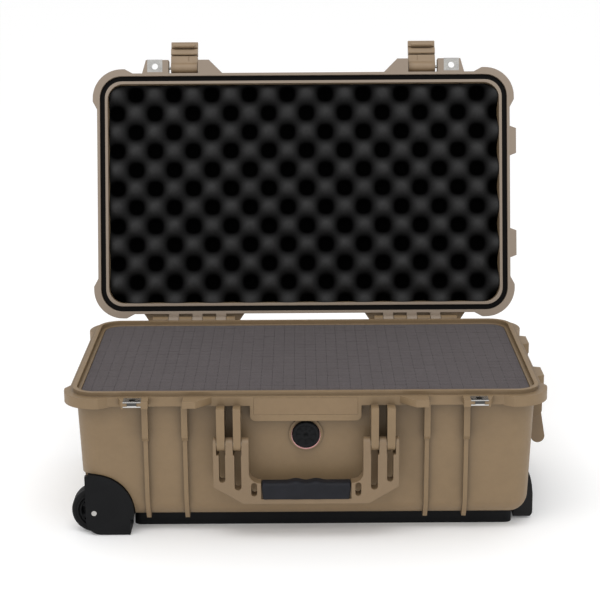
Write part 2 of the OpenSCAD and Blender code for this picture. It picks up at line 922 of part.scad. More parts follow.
module handle_arm() {
    out = handle_width / 2;
    in = out - handle_arm_w;
    gap = 0.6;
    fillet = 12;
    difference() {
        plate_xz(handle_front, handle_back) {
            polygon([
                [in, handle_z], [out, handle_z], [out, handle_low + 20],
                [out - 33, handle_low], [0, handle_low], [0, handle_low + 24.5],
                [in, handle_low + 24.5]
            ]);
            difference() {
                translate([in - fillet, handle_low + 24.5]) square([fillet, fillet]);
                translate([in - fillet, handle_low + 24.5 + fillet]) circle(fillet);
            }
        }
        for (span = [handle_post_a, handle_post_b])
            box(
                [span[0] - gap, handle_front - 1, handle_z - 11],
                [span[1] + gap, handle_back + 1, handle_z + 10]
            );
        arm_slot(90, 97, 72, handle_z - 8);
        arm_slot(72.2, 79.8, 62.7, handle_z - 8);
        arm_slot(54.8, 61.4, 55.5, 71.4);
    }
    for (span = [[in, handle_post_b[0] - gap], [handle_post_b[1] + gap, handle_post_a[0] - gap],
                 [handle_post_a[1] + gap, out]])
        rod_x(span[0], span[1], handle_y, handle_z, 7.5);
}

handle_grip_x = 50.4;
handle_grip_z = [52, 73];

module front_handle_frame() {
    color(tan)
        difference() {
            both_sides_x() handle_arm();
            difference() {
                box(
                    [-handle_grip_x, handle_front - 1, handle_grip_z[0]],
                    [handle_grip_x, handle_back + 1, handle_grip_z[1] + 1]
                );
                box(
                    [-handle_grip_x - 1, handle_y - 4, handle_grip_z[0] - 1],
                    [handle_grip_x + 1, handle_y + 4, handle_grip_z[1] - 6]
                );
            }
            both_sides_x() rod_x(60, 110, handle_y, handle_z, handle_pin_r + fit);
        }
}

module front_handle_grip() {
    edge = 5;
    y_low = handle_front - 2;
    y_high = handle_back + 1;
    color(rubber)
        difference() {
            plate_yz(-handle_grip_x, handle_grip_x) {
                translate([y_low, handle_grip_z[0]])
                    square([y_high - y_low, handle_grip_z[1] - handle_grip_z[0] - edge]);
                translate([y_low + edge, handle_grip_z[0]])
                    square([y_high - y_low - 2 * edge, handle_grip_z[1] - handle_grip_z[0]]);
                for (y = [y_low + edge, y_high - edge])
                    translate([y, handle_grip_z[1] - edge]) circle(edge);
            }
            box(
                [-handle_grip_x - 1, handle_y - 4, handle_grip_z[0] - 1],
                [handle_grip_x + 1, handle_y + 4, handle_grip_z[1] - 6]
            );
        }
}

module side_handle_frame() {
    core = 4.5;
    color(tan)
        difference() {
            union() {
                both_sides_y()
                    plate_xz(side_arm_y[0], side_arm_y[1]) {
                        translate([side_pivot_x, side_pivot_z]) circle(7.5);
                        translate([side_bar_x, side_bar_z]) circle(8);
                        polygon([
                            [side_pivot_x - 7.4, side_pivot_z - 1],
                            [side_pivot_x + 7.4, side_pivot_z + 1],
                            [side_bar_x + 7.9, side_bar_z + 1], [side_bar_x - 7.9, side_bar_z - 1]
                        ]);
                    }
                rod_y(-side_arm_y[0] - 1, side_arm_y[0] + 1, side_bar_x, side_bar_z, core);
            }
            both_sides_y()
                rod_y(side_arm_y[0] - 1, side_arm_y[1] + 1, side_pivot_x, side_pivot_z, 2.5 + fit);
        }
}

module side_handle_grip() {
    color(rubber)
        difference() {
            rod_y(-side_arm_y[0] + 0.1, side_arm_y[0] - 0.1, side_bar_x, side_bar_z, 9.2);
            rod_y(-side_arm_y[0] - 2, side_arm_y[0] + 2, side_bar_x, side_bar_z, 4.5);
        }
}

base_shell();
base_foam_top();
base_foam_middle();
base_foam_bottom();
base_eyelet_left();
base_eyelet_right();
name_plate();
purge_valve_cap();
purge_valve_gasket();
purge_valve_membrane();
purge_valve_nut();
hinge_pin_left();
hinge_pin_right();
front_handle_pin_left();
front_handle_pin_right();
side_handle_pins();
trolley_housing();
trolley_housing_screws();
trolley_outer_tubes();
wheel_housing_front();
wheel_housing_rear();
axle_front();
axle_rear();
lid_shell();
lid_o_ring();
lid_foam();
lid_eyelet_left();
lid_eyelet_right();
latch_pin_left();
latch_pin_right();
latch_body_left();
latch_lever_left();
lever_pin_left();
latch_body_right();
latch_lever_right();
lever_pin_right();
front_handle_frame();
front_handle_grip();
side_handle_frame();
side_handle_grip();
trolley_middle_tubes();
trolley_collars();
trolley_inner_tubes();
trolley_grip();
trolley_button();
wheel_tyre_front();
wheel_hub_front();
wheel_bearings_front();
wheel_tyre_rear();
wheel_hub_rear();
wheel_bearings_rear();
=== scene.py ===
"""Looks of the wheeled equipment case, in metres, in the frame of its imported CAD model.

CAD nodes keep their shape: they get smooth shading, edges that look rounded and procedural
materials. Foam, rubber grips, tyres, hubs and the purge valve's cap are detailed pieces that stand
for their plain CAD nodes.
"""
import json
import math
import random

import bmesh
import bpy
from mathutils import Matrix, Vector


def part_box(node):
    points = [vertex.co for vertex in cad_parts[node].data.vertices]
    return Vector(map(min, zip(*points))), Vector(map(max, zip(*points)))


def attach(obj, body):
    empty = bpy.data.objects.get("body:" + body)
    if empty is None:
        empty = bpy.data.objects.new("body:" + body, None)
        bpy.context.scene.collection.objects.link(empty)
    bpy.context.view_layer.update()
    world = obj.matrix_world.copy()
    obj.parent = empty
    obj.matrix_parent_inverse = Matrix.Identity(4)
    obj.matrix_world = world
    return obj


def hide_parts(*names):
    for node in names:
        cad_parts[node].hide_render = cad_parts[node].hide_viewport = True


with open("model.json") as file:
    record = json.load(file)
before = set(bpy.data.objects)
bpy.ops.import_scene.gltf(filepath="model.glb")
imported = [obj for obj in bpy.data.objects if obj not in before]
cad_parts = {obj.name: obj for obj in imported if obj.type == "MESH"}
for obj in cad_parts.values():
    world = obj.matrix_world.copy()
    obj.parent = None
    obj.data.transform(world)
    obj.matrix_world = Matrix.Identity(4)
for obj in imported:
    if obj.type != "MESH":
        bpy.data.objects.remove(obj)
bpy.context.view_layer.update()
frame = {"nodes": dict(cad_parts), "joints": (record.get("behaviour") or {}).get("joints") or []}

nodes = frame["nodes"]
joints = {j["name"]: j for j in frame["joints"]}
scene = bpy.context.scene
rng = random.Random(7)

MM = 0.001
WELD_GAP = 0.002 * MM       # closer vertices than this are one
CREASE = math.radians(28)   # sharper edges than this stay crisp
NORMAL_WEIGHT = 60          # how much the larger faces lead the shading

# A lid point goes from its closed place to its open one by a turn about the hinge
HINGE = Vector(joints["lid_hinge"]["pos_m"])
OPEN = math.radians(joints["lid_hinge"]["range_deg"][1])
TO_OPEN = Matrix.Translation(HINGE) @ Matrix.Rotation(-OPEN, 4, "X") @ Matrix.Translation(-HINGE)
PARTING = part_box("base_shell")[1].z - 4.5 * MM
LID_UP = TO_OPEN.to_3x3() @ Vector((0, 0, 1))


# ------------------------------------------------------------------ node graphs

class Graph:
    """A material and short calls that add nodes to it."""

    def __init__(self, name):
        self.material = bpy.data.materials.new(name)
        self.material.use_nodes = True
        self.tree = self.material.node_tree
        self.shader = self.tree.nodes["Principled BSDF"]
        self.position = self.add("ShaderNodeTexCoord").outputs["Object"]

    def add(self, kind, **settings):
        node = self.tree.nodes.new(kind)
        for key, value in settings.items():
            setattr(node, key, value)
        return node

    def put(self, socket, value):
        """Sets a socket to a number or colour, or links another socket to it."""
        if isinstance(value, bpy.types.NodeSocket):
            self.tree.links.new(value, socket)
        else:
            socket.default_value = value

    def noise(self, size, detail=3.0, rough=0.55, stretch=None):
        """Noise between 0 and 1 whose features are about size metres across."""
        node = self.add("ShaderNodeTexNoise")
        self.put(node.inputs["Vector"], self.stretched(stretch))
        self.put(node.inputs["Scale"], 1 / size)
        self.put(node.inputs["Detail"], detail)
        self.put(node.inputs["Roughness"], rough)
        return node.outputs["Fac"]

    def cells(self, size, feature="F1"):
        """Distance within cells about size metres across."""
        node = self.add("ShaderNodeTexVoronoi", feature=feature)
        self.put(node.inputs["Vector"], self.position)
        self.put(node.inputs["Scale"], 1 / size)
        return node.outputs["Distance"]

    def stretched(self, stretch):
        """The place in the object, scaled on each axis."""
        if stretch is None:
            return self.position
        node = self.add("ShaderNodeMapping")
        self.put(node.inputs["Vector"], self.position)
        self.put(node.inputs["Scale"], stretch)
        return node.outputs["Vector"]

    def math(self, operation, a, b=0.0):
        """The result of one arithmetic operation on a and b."""
        node = self.add("ShaderNodeMath", operation=operation)
        self.put(node.inputs[0], a)
        self.put(node.inputs[1], b)
        return node.outputs[0]

    def remap(self, value, low, high, to_low=0.0, to_high=1.0):
        """Carries low..high to to_low..to_high, and stops at the ends."""
        node = self.add("ShaderNodeMapRange")
        for key, number in (("Value", value), ("From Min", low), ("From Max", high),
                            ("To Min", to_low), ("To Max", to_high)):
            self.put(node.inputs[key], number)
        return node.outputs["Result"]

    def mix(self, factor, a, b):
        """Colour a where the factor is 0, b where it is 1."""
        node = self.add("ShaderNodeMix", data_type="RGBA")
        self.put(node.inputs["Factor"], factor)
        self.put(node.inputs["A"], a)
        self.put(node.inputs["B"], b)
        return node.outputs["Result"]

    def edges(self, width):
        """1 near a convex or concave edge, 0 on open faces."""
        soft = self.add("ShaderNodeBevel", samples=4)
        self.put(soft.inputs["Radius"], width)
        geometry = self.add("ShaderNodeNewGeometry")
        dot = self.add("ShaderNodeVectorMath", operation="DOT_PRODUCT")
        self.put(dot.inputs[0], soft.outputs["Normal"])
        self.put(dot.inputs[1], geometry.outputs["Normal"])
        return self.remap(dot.outputs["Value"], 0.995, 0.86)

    def depth(self, point, direction):
        """How far a place lies from the point along the unit direction, in metres."""
        along = self.add("ShaderNodeVectorMath", operation="DOT_PRODUCT")
        self.put(along.inputs[0], self.position)
        self.put(along.inputs[1], direction)
        return self.math("SUBTRACT", along.outputs["Value"], point.dot(direction))

    def corners(self, distance):
        """1 deep in the inner corners of the piece itself, 0 on open faces."""
        room = self.add("ShaderNodeAmbientOcclusion", samples=6, only_local=True)
        self.put(room.inputs["Distance"], distance)
        return self.remap(room.outputs["AO"], 0.95, 0.45)

    def rounded(self, radius):
        """A normal that rounds the edges to that radius."""
        soft = self.add("ShaderNodeBevel", samples=6)
        self.put(soft.inputs["Radius"], radius)
        return soft.outputs["Normal"]

    def bump(self, height, depth, strength=1.0, under=None):
        """A bump of that depth in metres, on top of an earlier bump."""
        node = self.add("ShaderNodeBump")
        self.put(node.inputs["Height"], height)
        self.put(node.inputs["Distance"], depth)
        self.put(node.inputs["Strength"], strength)
        if under is not None:
            self.put(node.inputs["Normal"], under)
        return node.outputs["Normal"]

    def surface(self, color, rough, normal=None, **sockets):
        """Fills the shader's sockets and returns the finished material."""
        self.put(self.shader.inputs["Base Color"], color)
        self.put(self.shader.inputs["Roughness"], rough)
        if normal is not None:
            self.put(self.shader.inputs["Normal"], normal)
        for key, value in sockets.items():
            self.put(self.shader.inputs[key.replace("_", " ")], value)
        return self.material


def rgb(red, green, blue, scale=1.0):
    """An opaque colour, its channels times scale."""
    return (red * scale, green * scale, blue * scale, 1.0)


# ------------------------------------------------------------------ materials

def moulded_plastic(name, color, rough, grain=0.7 * MM, grain_depth=0.05 * MM, mottle=0.06,
                    edge_light=1.18, edge_radius=0.9 * MM, gloss=0.5, corner_shade=0.0, rim=None):
    """Textured structural plastic: mottled, fine leather grain, edges paler from wear and painted
    highlight.

    The argument after gloss sets painted shade in its inner corners, where the piece shades
    itself.
    rim is (point, direction, depth, color): that paler colour on the face from that point to that
    depth."""
    g = Graph(name)
    flow = g.noise(90 * MM, 4.0)
    patch = g.noise(14 * MM, 5.0, 0.65)
    tone = g.math("ADD", g.math("MULTIPLY", flow, 0.5), g.math("MULTIPLY", patch, 0.5))
    body = g.mix(g.remap(tone, 0.35, 0.65), rgb(*color, 1 - mottle), rgb(*color, 1 + mottle))
    # Paler edges: partly wear, partly a painted highlight along rims and ribs.
    wear_and_highlight = g.math("MULTIPLY", g.edges(0.9 * MM), g.remap(g.noise(6 * MM), 0.4, 0.62, 0.15, 0.75))
    body = g.mix(wear_and_highlight, body, rgb(*color, edge_light))
    # Painted shade: the inner corners darken as if they lay in shadow.
    if corner_shade:
        body = g.mix(g.math("MULTIPLY", g.corners(26 * MM), corner_shade), body, rgb(*color, 0.4))
    # A paler colour on the face within the given depth of the plane: the lid's sealing face.
    if rim is not None:
        point, direction, depth, pale = rim
        near = g.remap(g.depth(point, direction), depth, depth + 0.6 * MM, 1.0, 0.0)
        body = g.mix(near, body, rgb(*pale))
    roughness = g.remap(g.noise(4 * MM, 4.0), 0.3, 0.7, rough - 0.05, rough + 0.06)
    wave = g.bump(g.noise(55 * MM, 2.0), 0.9 * MM, 0.35, g.rounded(edge_radius))
    pebble = g.bump(g.cells(grain, "SMOOTH_F1"), grain_depth, 0.55, wave)
    fine = g.bump(g.noise(grain * 0.45, 2.0), grain_depth * 0.5, 0.4, pebble)
    return g.surface(body, roughness, fine, Specular_IOR_Level=gloss)


def seal_rubber():
    """Smooth black rubber with a little dust."""
    g = Graph("seal_rubber")
    dust = g.remap(g.noise(5 * MM, 5.0, 0.7), 0.5, 0.75)
    color = g.mix(dust, rgb(0.0022, 0.0018, 0.0018), rgb(0.0050, 0.0040, 0.0038))
    skin = g.bump(g.noise(1.2 * MM), 0.06 * MM, 0.4)
    return g.surface(color, g.remap(dust, 0.0, 1.0, 0.38, 0.55), skin, Specular_IOR_Level=0.08)


def soft_rubber(name, color, rough):
    """Overmoulded rubber with finely pebbled skin and a satin sheen."""
    g = Graph(name)
    smudge = g.remap(g.noise(16 * MM, 5.0, 0.6), 0.35, 0.7)
    tone = g.mix(smudge, rgb(*color, 0.85), rgb(*color, 1.25))
    pebble = g.bump(g.cells(1.0 * MM), 0.08 * MM, 0.6)
    skin = g.bump(g.noise(0.5 * MM), 0.03 * MM, 0.5, pebble)
    return g.surface(tone, g.remap(smudge, 0.0, 1.0, rough, rough + 0.12), skin,
                     Specular_IOR_Level=0.16)


def open_foam(name, dark, light, sheen, shade=None):
    """Open-cell foam: fine pores, uneven dye and a dull, dusty sheen.

    shade is (point, direction, depth): painted shade darkens the foam from that point to that
    depth."""
    g = Graph(name)
    cell = 1.1 * MM
    dye = g.remap(g.noise(22 * MM, 5.0, 0.65), 0.3, 0.7)
    pit = g.remap(g.cells(cell), 0.15, 0.75)
    tone = g.mix(dye, dark, light)
    color = g.mix(g.math("MULTIPLY", pit, 0.35), tone, rgb(*dark[:3], 0.45))
    if shade is not None:
        point, direction, depth = shade
        # Painted shade: the deeper a place sinks into the pits, the darker it is painted.
        sunk = g.remap(g.depth(point, direction), 0.0, depth)
        color = g.mix(g.math("POWER", sunk, 0.95), color, rgb(*dark[:3], 0.02))
    rough_skin = g.bump(g.noise(2.4 * MM, 4.0, 0.7), 0.35 * MM, 0.6)
    skin = g.bump(pit, cell * 0.45, 0.8, rough_skin)
    return g.surface(color, 0.95, skin, Sheen_Weight=sheen, Sheen_Roughness=0.6,
                     Specular_IOR_Level=0.4 * sheen)


def brushed_metal(name, color, rough, stretch, tarnish=0.12, dark=None):
    """Metal with fine brush marks. dark is (point, direction, start, end): a band of painted
    shade.
    """
    g = Graph(name)
    streaks = g.noise(0.35 * MM, 4.0, 0.6, stretch)
    stain = g.remap(g.noise(7 * MM, 5.0), 0.4, 0.75)
    tone = g.mix(g.math("MULTIPLY", stain, tarnish), rgb(*color), rgb(*color, 0.45))
    # Painted shade: a dark band that stands for the shadow inside a slot.
    if dark is not None:
        point, direction, start, end = dark
        middle, half = (start + end) / 2, (end - start) / 2
        off = g.math("ABSOLUTE", g.math("SUBTRACT", g.depth(point, direction), middle))
        tone = g.mix(g.remap(off, half, half - 0.3 * MM), tone, rgb(*color, 0.12))
    roughness = g.remap(streaks, 0.3, 0.7, rough - 0.06, rough + 0.1)
    return g.surface(tone, roughness, g.bump(streaks, 0.02 * MM, 0.5), Metallic=1.0)


def tread_rubber():
    """Scuffed, matte tyre rubber."""
    g = Graph("tread_rubber")
    scuff = g.remap(g.noise(3.5 * MM, 6.0, 0.7), 0.45, 0.75)
    color = g.mix(scuff, rgb(0.004, 0.004, 0.0045), rgb(0.012, 0.012, 0.012))
    skin = g.bump(g.noise(0.9 * MM, 4.0, 0.7), 0.09 * MM, 0.7)
    return g.surface(color, g.remap(scuff, 0.0, 1.0, 0.6, 0.8), skin,
                     Specular_IOR_Level=0.15)


def gasket_silicone():
    """Soft red silicone, slightly translucent."""
    g = Graph("gasket_silicone")
    tone = g.mix(g.noise(3 * MM), rgb(0.58, 0.27, 0.26), rgb(0.70, 0.38, 0.36))
    return g.surface(tone, 0.42, g.bump(g.noise(0.8 * MM), 0.03 * MM, 0.4),
                     Subsurface_Weight=0.1, Subsurface_Scale=0.001)


def woven_membrane():
    """White cloth of the valve's membrane."""
    g = Graph("woven_membrane")
    weave = g.cells(0.35 * MM, "DISTANCE_TO_EDGE")
    tone = g.mix(g.remap(weave, 0.0, 0.2), rgb(0.45, 0.45, 0.44), rgb(0.78, 0.78, 0.76))
    return g.surface(tone, 0.8, g.bump(weave, 0.05 * MM, 0.5))


# The base takes painted shade in its inner corners.
base_plastic = moulded_plastic("base_plastic", (0.206, 0.137, 0.070), 0.52, corner_shade=0.6,
                               edge_light=1.45)
lid_plastic = moulded_plastic(
    "lid_plastic", (0.210, 0.143, 0.077), 0.52,
    rim=(TO_OPEN @ Vector((0, 0, PARTING)), LID_UP, 2.4 * MM, (0.252, 0.198, 0.150)),
    edge_light=1.4)
trim_plastic = moulded_plastic("trim_plastic", (0.198, 0.134, 0.074), 0.5, grain=0.5 * MM)
# The latches are paler than the shell: partly their own colour, partly a painted highlight of
# light from above.
latch_plastic = moulded_plastic("latch_plastic", (0.250, 0.176, 0.106), 0.5, grain=0.5 * MM,
                                edge_radius=0.6 * MM)
plate_plastic = moulded_plastic("plate_plastic", (0.202, 0.133, 0.068), 0.5, grain=0.45 * MM,
                                grain_depth=0.03 * MM, edge_radius=0.4 * MM)
# The black parts' much paler edges are partly wear and partly a painted highlight.
black_plastic = moulded_plastic("black_plastic", (0.0060, 0.0062, 0.0069), 0.58, mottle=0.18,
                                edge_light=1.9, gloss=0.13)
grip_plastic = moulded_plastic("grip_plastic", (0.0070, 0.0068, 0.0072), 0.5, mottle=0.15,
                               edge_light=2.0, edge_radius=1.4 * MM, gloss=0.2)
grip_rubber = soft_rubber("grip_rubber", (0.012, 0.0125, 0.016), 0.5)
block_foam = open_foam("block_foam", rgb(0.059, 0.0455, 0.0475), rgb(0.074, 0.058, 0.061),
                       sheen=0.15)
# The lid foam's pits are darkened with painted shade.
egg_foam = open_foam(
    "egg_foam", rgb(0.038, 0.038, 0.0385), rgb(0.050, 0.050, 0.0505), sheen=0.0,
    shade=(TO_OPEN @ Vector((0, 0, PARTING + 3.2 * MM)), LID_UP, 12.5 * MM))
stainless = brushed_metal("stainless", (0.50, 0.49, 0.47), 0.26, (1.0, 0.08, 1.0), 0.45)
# The base eyelets carry a band of painted shade across their noses, where the real ones have a
# shadowed slot.
eyelet_steel = brushed_metal(
    "eyelet_steel", (0.56, 0.55, 0.53), 0.26, (1.0, 0.08, 1.0), 0.3,
    dark=(Vector((0, 0, PARTING)), Vector((0, 0, -1)), 1.15 * MM, 5.05 * MM))
pin_steel = brushed_metal("pin_steel", (0.44, 0.44, 0.43), 0.30, (0.06, 1.0, 1.0), 0.3)
tube_alloy = brushed_metal("tube_alloy", (0.66, 0.66, 0.67), 0.30, (0.05, 1.0, 1.0))
seal_black = seal_rubber()
tread_black = tread_rubber()
gasket_red = gasket_silicone()
membrane_white = woven_membrane()

LOOKS = {
    base_plastic: ["base_shell"],
    lid_plastic: ["lid_shell"],
    trim_plastic: ["front_handle_frame", "side_handle_frame"],
    latch_plastic: ["latch_body_left", "latch_body_right", "latch_lever_left",
                    "latch_lever_right"],
    plate_plastic: ["name_plate"],
    black_plastic: ["trolley_housing", "wheel_housing_front", "wheel_housing_rear",
                    "purge_valve_nut", "trolley_collars"],
    grip_plastic: ["trolley_grip"],
    grip_rubber: ["trolley_button"],
    eyelet_steel: ["base_eyelet_left", "base_eyelet_right"],
    stainless: ["lid_eyelet_left", "lid_eyelet_right", "axle_front", "axle_rear"],
    pin_steel: ["hinge_pin_left", "hinge_pin_right", "front_handle_pin_left",
                "front_handle_pin_right", "side_handle_pins", "latch_pin_left",
                "latch_pin_right", "lever_pin_left", "lever_pin_right",
                "trolley_housing_screws", "wheel_bearings_front", "wheel_bearings_rear"],
    tube_alloy: ["trolley_outer_tubes", "trolley_middle_tubes", "trolley_inner_tubes"],
    seal_black: ["lid_o_ring"],
    gasket_red: ["purge_valve_gasket"],
    membrane_white: ["purge_valve_membrane"],
}


def finish_node(name, material):
    """Gives a CAD node its material, crisp edges and smooth shading between them."""
    node = nodes[name]
    node.data.materials.clear()
    node.data.materials.append(material)
    weld = node.modifiers.new("weld", "WELD")
    weld.merge_threshold = WELD_GAP
    split = node.modifiers.new("split", "EDGE_SPLIT")
    split.split_angle = CREASE
    node.data.shade_smooth()
    normals = node.modifiers.new("normals", "WEIGHTED_NORMAL")
    normals.mode = "FACE_AREA"
    normals.weight = NORMAL_WEIGHT


for look, names in LOOKS.items():
    for name in names:
        finish_node(name, look)

# ------------------------------------------------------------------ pieces

def piece(name, mesh, body, slot, material, *replaced):
    """Makes an object of a bmesh or mesh, on a body, standing for CAD nodes."""
    if isinstance(mesh, bmesh.types.BMesh):
        bmesh.ops.recalc_face_normals(mesh, faces=mesh.faces)
        data = bpy.data.meshes.new(name)
        mesh.to_mesh(data)
        mesh.free()
        mesh = data
    mesh.shade_smooth()
    mesh.materials.clear()
    mesh.materials.append(material)
    obj = bpy.data.objects.new(name, mesh)
    scene.collection.objects.link(obj)
    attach(obj, body)
    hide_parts(*replaced)
    return obj


def weighted(obj):
    """Shades the flat faces flat and lets the edges between them turn smoothly."""
    modifier = obj.modifiers.new("normals", "WEIGHTED_NORMAL")
    modifier.weight = NORMAL_WEIGHT


def loft(bm, rings, closed=False):
    """Joins rings of points with quads, and closes the run on itself or with two end caps."""
    rows = [[bm.verts.new(point) for point in ring] for ring in rings]
    count = len(rows[0])
    following = rows[1:] + rows[:1] if closed else rows[1:]
    for low, high in zip(rows, following):
        for i in range(count):
            j = (i + 1) % count
            bm.faces.new((low[i], low[j], high[j], high[i]))
    if not closed:
        bm.faces.new(rows[0][::-1])
        bm.faces.new(rows[-1])


def lathe(profile, centre, segments, shape=None):
    """Turns a closed profile of (along, radius) about the Y axis through centre.

    shape(along, radius, angle) may return a changed (along, radius)."""
    bm = bmesh.new()
    rings = []
    for k in range(segments):
        angle = 2 * math.pi * k / segments
        ring = []
        for along, radius in profile:
            if shape is not None:
                along, radius = shape(along, radius, angle)
            ring.append((centre[0] + radius * math.sin(angle), centre[1] + along,
                         centre[2] + radius * math.cos(angle)))
        rings.append(ring)
    loft(bm, rings, closed=True)
    return bm


def rounded_outline(half_x, half_y, radius, steps=8):
    """Points of a rounded rectangle about the origin, anticlockwise."""
    points = []
    for quarter, (sx, sy) in enumerate(((1, 1), (-1, 1), (-1, -1), (1, -1))):
        for k in range(steps + 1):
            angle = math.pi / 2 * (quarter + k / steps)
            points.append((sx * (half_x - radius) + radius * math.cos(angle),
                           sy * (half_y - radius) + radius * math.sin(angle)))
    return points


def mirrored(profile):
    """The points of a profile on the other side of the piece, in reverse order."""
    return [(-along, radius) for along, radius in reversed(profile)]


def clip(polygon, outline):
    """The part of a polygon inside a convex anticlockwise outline."""
    for (ax, ay), (bx, by) in zip(outline, outline[1:] + outline[:1]):
        side = [(bx - ax) * (y - ay) - (by - ay) * (x - ax) for x, y in polygon]
        cut = []
        for i, point in enumerate(polygon):
            j = (i + 1) % len(polygon)
            if side[i] >= 0:
                cut.append(point)
            if (side[i] >= 0) != (side[j] >= 0):
                t = side[i] / (side[i] - side[j])
                cut.append((point[0] + t * (polygon[j][0] - point[0]),
                            point[1] + t * (polygon[j][1] - point[1])))
        polygon = cut
        if len(polygon) < 3:
            return []
    return polygon


def pluck_layer(node_name, block_depth, skip=None):
    """A foam layer cut into 12.7 mm blocks from above, left joined below.

    skip(x, y) says whether to leave out the block whose middle is at x, y."""
    pitch, slit, chamfer, crumb = 12.7 * MM, 0.05 * MM, 0.2 * MM, 2.5 * MM
    inset, corner, joined = 0.15 * MM, 21.3 * MM, 1 * MM
    settle, tilt = 0.14 * MM, 0.006
    low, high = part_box(node_name)
    bm = bmesh.new()
    bm.from_mesh(nodes[node_name].data)
    bmesh.ops.remove_doubles(bm, verts=bm.verts, dist=WELD_GAP)
    for vert in bm.verts:
        if vert.co.z > high.z - 0.5 * MM:
            vert.co.z = high.z - block_depth + joined
    half_x, half_y = (high.x - low.x) / 2 - inset, (high.y - low.y) / 2 - inset
    outline = rounded_outline(half_x, half_y, corner)
    columns, rows = math.ceil(half_x / pitch), math.ceil(half_y / pitch)
    bottom = high.z - block_depth
    for column in range(-columns, columns):
        for row in range(-rows, rows):
            x, y = column * pitch + slit / 2, row * pitch + slit / 2
            width = pitch - slit
            if skip is not None and skip(x + width / 2, y + width / 2):
                continue
            cell = clip([(x, y), (x + width, y), (x + width, y + width), (x, y + width)], outline)
            if len(cell) < 3:
                continue
            cx = sum(point[0] for point in cell) / len(cell)
            cy = sum(point[1] for point in cell) / len(cell)
            if max(math.dist(point, (cx, cy)) for point in cell) < crumb:
                continue
            top = high.z - rng.random() ** 2 * settle
            tilt_x, tilt_y = rng.uniform(-tilt, tilt), rng.uniform(-tilt, tilt)
            shrink = 1 - 2 * chamfer / width
            rings = [
                [(px, py, bottom) for px, py in cell],
                [(px, py, top - chamfer) for px, py in cell],
                [(cx + (px - cx) * shrink, cy + (py - cy) * shrink,
                  min(high.z, top + tilt_x * (px - cx) + tilt_y * (py - cy)))
                 for px, py in cell]]
            loft(bm, rings)
    obj = piece(node_name + "_blocks", bm, "base", "block_foam", block_foam, node_name)
    weighted(obj)


WELL_SIDE = 94 * MM
WELL_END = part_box("wheel_housing_front")[1].x + 14 * MM


def over_wheel_well(x, y):
    """Whether a wheel well takes the place of the foam at x, y."""
    return abs(y) > WELL_SIDE and x < WELL_END


pluck_layer("base_foam_top", 14 * MM)
pluck_layer("base_foam_middle", 10 * MM)
pluck_layer("base_foam_bottom", 4 * MM, over_wheel_well)


def convoluted_foam():
    """The lid's foam: rows of rounded peaks over pits, and a flat back."""
    pitch_x, pitch_y = 24.6 * MM, 24.4 * MM
    peak_x, peak_y = 4.05 * MM, 17.3 * MM
    depth, step = 19.0 * MM, 1.9 * MM
    skin, wobble, most_sag = 0.2 * MM, 0.35 * MM, 0.2 * MM
    corner, back_round = 21.5 * MM, 12 * MM
    to_closed = TO_OPEN.inverted()
    points = [to_closed @ v.co for v in nodes["lid_foam"].data.vertices]
    low = Vector([min(p[i] for p in points) for i in range(3)])
    high = Vector([max(p[i] for p in points) for i in range(3)])
    half_x, half_y = (high.x - low.x) / 2, (high.y - low.y) / 2
    outline = rounded_outline(half_x, half_y, corner, 6)

    def face(x, y):
        """Height of the waved face, with a slow wander so that no two peaks are alike."""
        across = math.cos(math.pi * (x - peak_x) / pitch_x)
        along = math.cos(math.pi * (y - peak_y) / pitch_y)
        wave = (1 + across * along) / 2
        wander = wobble * math.sin(x * 61 + 1.3 * math.sin(y * 47)) * math.cos(y * 53 + 0.7)
        sag = min(most_sag, 1.6 * MM * max(0.0, (y / half_y - 0.55) / 0.45) ** 2)
        return low.z + skin + depth * (1 - wave ** 1.12) + abs(wander) - sag

    bm = bmesh.new()
    nx, ny = math.ceil(half_x / step), math.ceil(half_y / step)
    grid = [[bm.verts.new((i * step, j * step, 0)) for i in range(-nx, nx + 1)]
            for j in range(-ny, ny + 1)]
    for near, far in zip(grid, grid[1:]):
        for i in range(len(near) - 1):
            bm.faces.new((near[i], near[i + 1], far[i + 1], far[i]))
    for (ax, ay), (bx, by) in zip(outline, outline[1:] + outline[:1]):
        if math.dist((ax, ay), (bx, by)) < 0.01 * MM:
            continue
        bmesh.ops.bisect_plane(bm, geom=bm.verts[:] + bm.edges[:] + bm.faces[:],
                               plane_co=(ax, ay, 0), plane_no=(by - ay, ax - bx, 0),
                               clear_outer=True)
    rim = [edge for edge in bm.edges if edge.is_boundary]
    for vert in bm.verts:
        vert.co.z = face(vert.co.x, vert.co.y)
    side = bmesh.ops.extrude_edge_only(bm, edges=rim)["geom"]
    for vert in [item for item in side if isinstance(item, bmesh.types.BMVert)]:
        vert.co.z = high.z - back_round
    back = [edge for edge in bm.edges if edge.is_boundary]
    last = bmesh.ops.extrude_edge_only(bm, edges=back)["geom"]
    for vert in [item for item in last if isinstance(item, bmesh.types.BMVert)]:
        vert.co.z = high.z
        vert.co.x -= math.copysign(back_round, vert.co.x) * min(1, abs(vert.co.x) / half_x)
        vert.co.y -= math.copysign(back_round, vert.co.y) * min(1, abs(vert.co.y) / half_y)
    bmesh.ops.contextual_create(bm, geom=[edge for edge in bm.edges if edge.is_boundary])
    bm.transform(TO_OPEN)
    obj = piece("lid_foam_convoluted", bm, "lid", "egg_foam", egg_foam, "lid_foam")


convoluted_foam()


